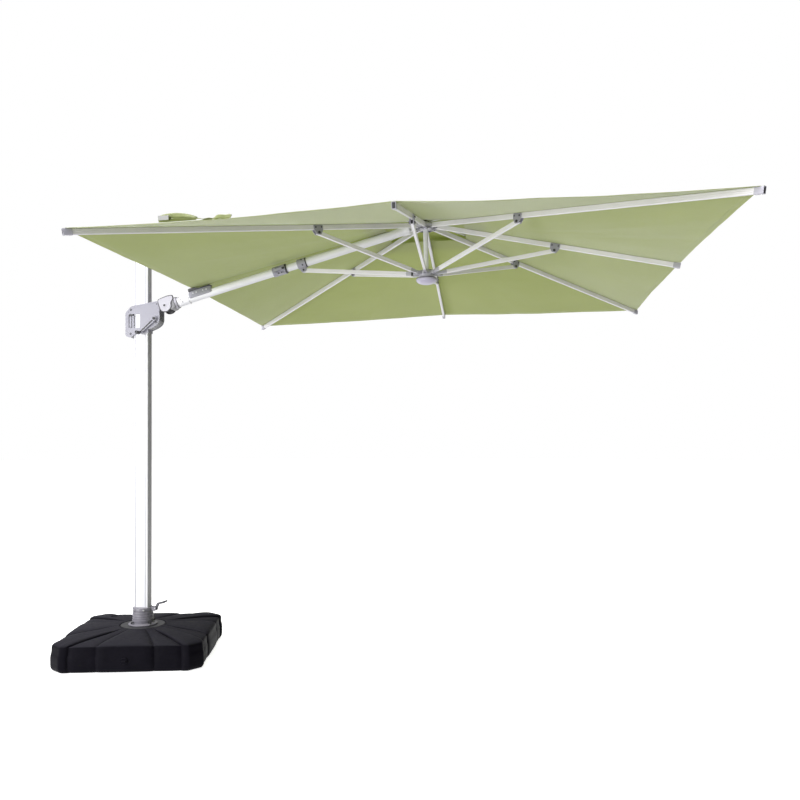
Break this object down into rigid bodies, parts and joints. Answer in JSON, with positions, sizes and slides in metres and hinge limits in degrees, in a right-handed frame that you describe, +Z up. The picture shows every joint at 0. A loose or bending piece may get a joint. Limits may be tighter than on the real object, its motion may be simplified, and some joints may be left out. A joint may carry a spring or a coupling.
{
  "type": "cantilever parasol",
  "caption": "Square cantilever parasol: weighted base, turning mast, sliding crank housing, tilting and twisting arm, and a canopy that folds on hinged ribs and struts.",
  "frame": {"origin": "middle of the base's underside, on the mast's axis", "axes": "+X from the mast to the canopy, +Y to the far side, +Z up"},
  "size_m": [3.8339, 3.0146, 2.7382],
  "materials": {
    "base_plastic": "matte",
    "sand": "matte",
    "steel": "satin",
    "cast_grey": "satin",
    "cast_aluminium": "satin",
    "dark_plastic": "satin",
    "white_aluminium": "satin",
    "rib_aluminium": "satin",
    "canopy_fabric": "matte"
  },
  "bodies": {
    "base": {"base_tank": "base_plastic", "sand_fill": "sand", "filler_cap": "base_plastic", "drain_plug": "base_plastic", "anchor_plate": "steel", "swivel_flange": "cast_aluminium"},
    "mast": {"swivel_collar": "cast_grey", "mast_tube": "white_aluminium", "mast_top_cap": "cast_grey", "pedal_pin": "steel"},
    "pedal": {"foot_pedal": "cast_grey"},
    "slider": {"housing_near_shell": "cast_grey", "housing_far_shell": "cast_grey", "slide_liner": "dark_plastic", "arm_pivot_pin": "steel"},
    "trigger": {"release_trigger": "dark_plastic"},
    "crank": {"cord_drum": "dark_plastic", "crank_arm": "cast_grey"},
    "knob": {"crank_knob": "dark_plastic"},
    "arm_lower": {"arm_knuckle": "cast_grey", "lower_arm_tube": "white_aluminium", "twist_collar": "cast_grey"},
    "twist_lever": {"twist_lock_lever": "dark_plastic"},
    "arm_upper": {"inner_arm_tube": "white_aluminium", "upper_arm_tube": "white_aluminium", "strut_collar": "cast_grey", "tip_saddle": "cast_grey", "arm_head": "cast_grey", "hub_hinge_pin": "steel", "canopy_panel_arm": "canopy_fabric"},
    "hub": {"top_hub": "cast_aluminium", "centre_post": "white_aluminium", "vent_spider": "steel", "canopy_cap": "dark_plastic", "vent_cover": "canopy_fabric"},
    "runner": {"lower_hub": "cast_aluminium", "lower_cap": "cast_grey"},
    "rib_right": {"rib_right": "rib_aluminium", "canopy_panel_right": "canopy_fabric"},
    "rib_far_right": {"rib_far_right": "rib_aluminium", "canopy_panel_far_right": "canopy_fabric"},
    "rib_far": {"rib_far": "rib_aluminium", "canopy_panel_far": "canopy_fabric"},
    "rib_far_left": {"rib_far_left": "rib_aluminium", "canopy_panel_far_left": "canopy_fabric"},
    "rib_near_left": {"rib_near_left": "rib_aluminium", "canopy_panel_near_left": "canopy_fabric", "closing_strap": "canopy_fabric"},
    "rib_near": {"rib_near": "rib_aluminium", "canopy_panel_near": "canopy_fabric"},
    "rib_near_right": {"rib_near_right": "rib_aluminium", "canopy_panel_near_right": "canopy_fabric"},
    "strut_right": {"strut_right": "rib_aluminium"},
    "strut_far_right": {"strut_far_right": "rib_aluminium"},
    "strut_far": {"strut_far": "rib_aluminium"},
    "strut_far_left": {"strut_far_left": "rib_aluminium"},
    "strut_arm": {"strut_arm": "rib_aluminium"},
    "strut_near_left": {"strut_near_left": "rib_aluminium"},
    "strut_near": {"strut_near": "rib_aluminium"},
    "strut_near_right": {"strut_near_right": "rib_aluminium"}
  },
  "joints": [
    {"name": "mast_swivel", "type": "hinge", "parent": "base", "child": "mast", "pos_m": [0, 0, 0.2], "axis": [0, 0, 1], "continuous": true},
    {"name": "pedal_press", "type": "hinge", "parent": "mast", "child": "pedal", "pos_m": [0.084, 0, 0.292], "axis": [0, 1, 0], "range_deg": [0, 16], "stiffness_Nm_per_rad": 4, "springref_deg": -20.05},
    {"name": "slider_slide", "type": "slide", "parent": "mast", "child": "slider", "axis": [0, 0, 1], "range_m": [-1.15, 0.2]},
    {"name": "trigger_squeeze", "type": "slide", "parent": "slider", "child": "trigger", "axis": [-1, 0, 0], "range_m": [0, 0.008], "stiffness_N_per_m": 900, "springref_m": -0.006},
    {"name": "crank_turn", "type": "hinge", "parent": "slider", "child": "crank", "pos_m": [0.099, 0, 2.1395], "axis": [0, 1, 0], "range_deg": [0, 2880]},
    {"name": "knob_spin", "type": "hinge", "parent": "crank", "child": "knob", "pos_m": [-0.0025, -0.054, 2.049], "axis": [0, 1, 0], "continuous": true},
    {"name": "arm_tilt", "type": "hinge", "parent": "slider", "child": "arm_lower", "pos_m": [0.1626, 0, 2.2219], "axis": [0, -1, 0], "range_deg": [-6, 60]},
    {"name": "twist_lever_flip", "type": "hinge", "parent": "arm_lower", "child": "twist_lever", "pos_m": [0.8788, -0.037, 2.42339], "axis": [0.2708, 0, -0.9626], "range_deg": [0, 110]},
    {"name": "arm_twist", "type": "hinge", "parent": "arm_lower", "child": "arm_upper", "pos_m": [0.1626, 0, 2.2219], "axis": [0.9626, 0, 0.2708], "range_deg": [-15, 15]},
    {"name": "canopy_fold", "type": "hinge", "parent": "arm_upper", "child": "hub", "pos_m": [1.76021, 0, 2.67137], "axis": [0, 1, 0], "range_deg": [0, 73], "deforming": ["canopy_panel_right", "canopy_panel_far_right", "canopy_panel_far", "canopy_panel_far_left", "canopy_panel_arm", "canopy_panel_near_left", "canopy_panel_near", "canopy_panel_near_right", "vent_cover", "vent_spider"]},
    {"name": "rib_fold_right", "type": "hinge", "parent": "hub", "child": "rib_right", "pos_m": [1.88019, 0, 2.67403], "axis": [0, 1, 0], "range_deg": [0, 73]},
    {"name": "rib_fold_far_right", "type": "hinge", "parent": "hub", "child": "rib_far_right", "pos_m": [1.86262, 0.04243, 2.67364], "axis": [-0.7069, 0.7071, -0.0157], "range_deg": [0, 73]},
    {"name": "rib_fold_far", "type": "hinge", "parent": "hub", "child": "rib_far", "pos_m": [1.8202, 0.06, 2.6727], "axis": [-0.9998, 0, -0.0222], "range_deg": [0, 73]},
    {"name": "rib_fold_far_left", "type": "hinge", "parent": "hub", "child": "rib_far_left", "pos_m": [1.77778, 0.04243, 2.67176], "axis": [-0.7069, -0.7071, -0.0157], "range_deg": [0, 73]},
    {"name": "rib_fold_near_left", "type": "hinge", "parent": "hub", "child": "rib_near_left", "pos_m": [1.77778, -0.04243, 2.67176], "axis": [0.7069, -0.7071, 0.0157], "range_deg": [0, 73]},
    {"name": "rib_fold_near", "type": "hinge", "parent": "hub", "child": "rib_near", "pos_m": [1.8202, -0.06, 2.6727], "axis": [0.9998, 0, 0.0222], "range_deg": [0, 73]},
    {"name": "rib_fold_near_right", "type": "hinge", "parent": "hub", "child": "rib_near_right", "pos_m": [1.86262, -0.04243, 2.67364], "axis": [0.7069, 0.7071, 0.0157], "range_deg": [0, 73]},
    {"name": "strut_fold_right", "type": "hinge", "parent": "rib_right", "child": "strut_right", "pos_m": [2.59581, 0, 2.50371], "axis": [0, 1, 0], "range_deg": [-153.5, 0]},
    {"name": "strut_fold_far_right", "type": "hinge", "parent": "rib_far_right", "child": "strut_far_right", "pos_m": [2.37044, 0.54706, 2.53552], "axis": [-0.7069, 0.7071, -0.0157], "range_deg": [-147.75, 0]},
    {"name": "strut_fold_far", "type": "hinge", "parent": "rib_far", "child": "strut_far", "pos_m": [1.82433, 0.77167, 2.48661], "axis": [-0.9998, 0, -0.0222], "range_deg": [-153.5, 0]},
    {"name": "strut_fold_far_left", "type": "hinge", "parent": "rib_far_left", "child": "strut_far_left", "pos_m": [1.27658, 0.54706, 2.51127], "axis": [-0.7069, -0.7071, -0.0157], "range_deg": [-147.75, 0]},
    {"name": "strut_fold_arm", "type": "hinge", "parent": "arm_upper", "child": "strut_arm", "pos_m": [1.05882, 0, 2.42833], "axis": [0, -1, 0], "range_deg": [-160.16, 0]},
    {"name": "strut_fold_near_left", "type": "hinge", "parent": "rib_near_left", "child": "strut_near_left", "pos_m": [1.27658, -0.54706, 2.51127], "axis": [0.7069, -0.7071, 0.0157], "range_deg": [-147.75, 0]},
    {"name": "strut_fold_near", "type": "hinge", "parent": "rib_near", "child": "strut_near", "pos_m": [1.82433, -0.77167, 2.48661], "axis": [0.9998, 0, 0.0222], "range_deg": [-153.5, 0]},
    {"name": "strut_fold_near_right", "type": "hinge", "parent": "rib_near_right", "child": "strut_near_right", "pos_m": [2.37044, -0.54706, 2.53552], "axis": [0.7069, 0.7071, 0.0157], "range_deg": [-147.75, 0]},
    {"name": "runner_slide", "type": "slide", "parent": "hub", "child": "runner", "axis": [0.0222, 0, -0.9998], "range_m": [0, 1.1553]}
  ],
  "couplings": [
    {"joint": "crank_turn", "follows": "canopy_fold", "ratio": 39.452},
    {"joint": "rib_fold_right", "follows": "canopy_fold", "ratio": 1},
    {"joint": "rib_fold_far_right", "follows": "canopy_fold", "ratio": 1},
    {"joint": "rib_fold_far", "follows": "canopy_fold", "ratio": 1},
    {"joint": "rib_fold_far_left", "follows": "canopy_fold", "ratio": 1},
    {"joint": "rib_fold_near_left", "follows": "canopy_fold", "ratio": 1},
    {"joint": "rib_fold_near", "follows": "canopy_fold", "ratio": 1},
    {"joint": "rib_fold_near_right", "follows": "canopy_fold", "ratio": 1},
    {"joint": "strut_fold_right", "follows": "canopy_fold", "ratio": -2.1026},
    {"joint": "strut_fold_far_right", "follows": "canopy_fold", "ratio": -2.0238},
    {"joint": "strut_fold_far", "follows": "canopy_fold", "ratio": -2.1026},
    {"joint": "strut_fold_far_left", "follows": "canopy_fold", "ratio": -2.0238},
    {"joint": "strut_fold_arm", "follows": "canopy_fold", "ratio": -2.1938},
    {"joint": "strut_fold_near_left", "follows": "canopy_fold", "ratio": -2.0238},
    {"joint": "strut_fold_near", "follows": "canopy_fold", "ratio": -2.1026},
    {"joint": "strut_fold_near_right", "follows": "canopy_fold", "ratio": -2.0238},
    {"joint": "runner_slide", "follows": "canopy_fold", "m_per_rad": 0.90634}
  ]
}
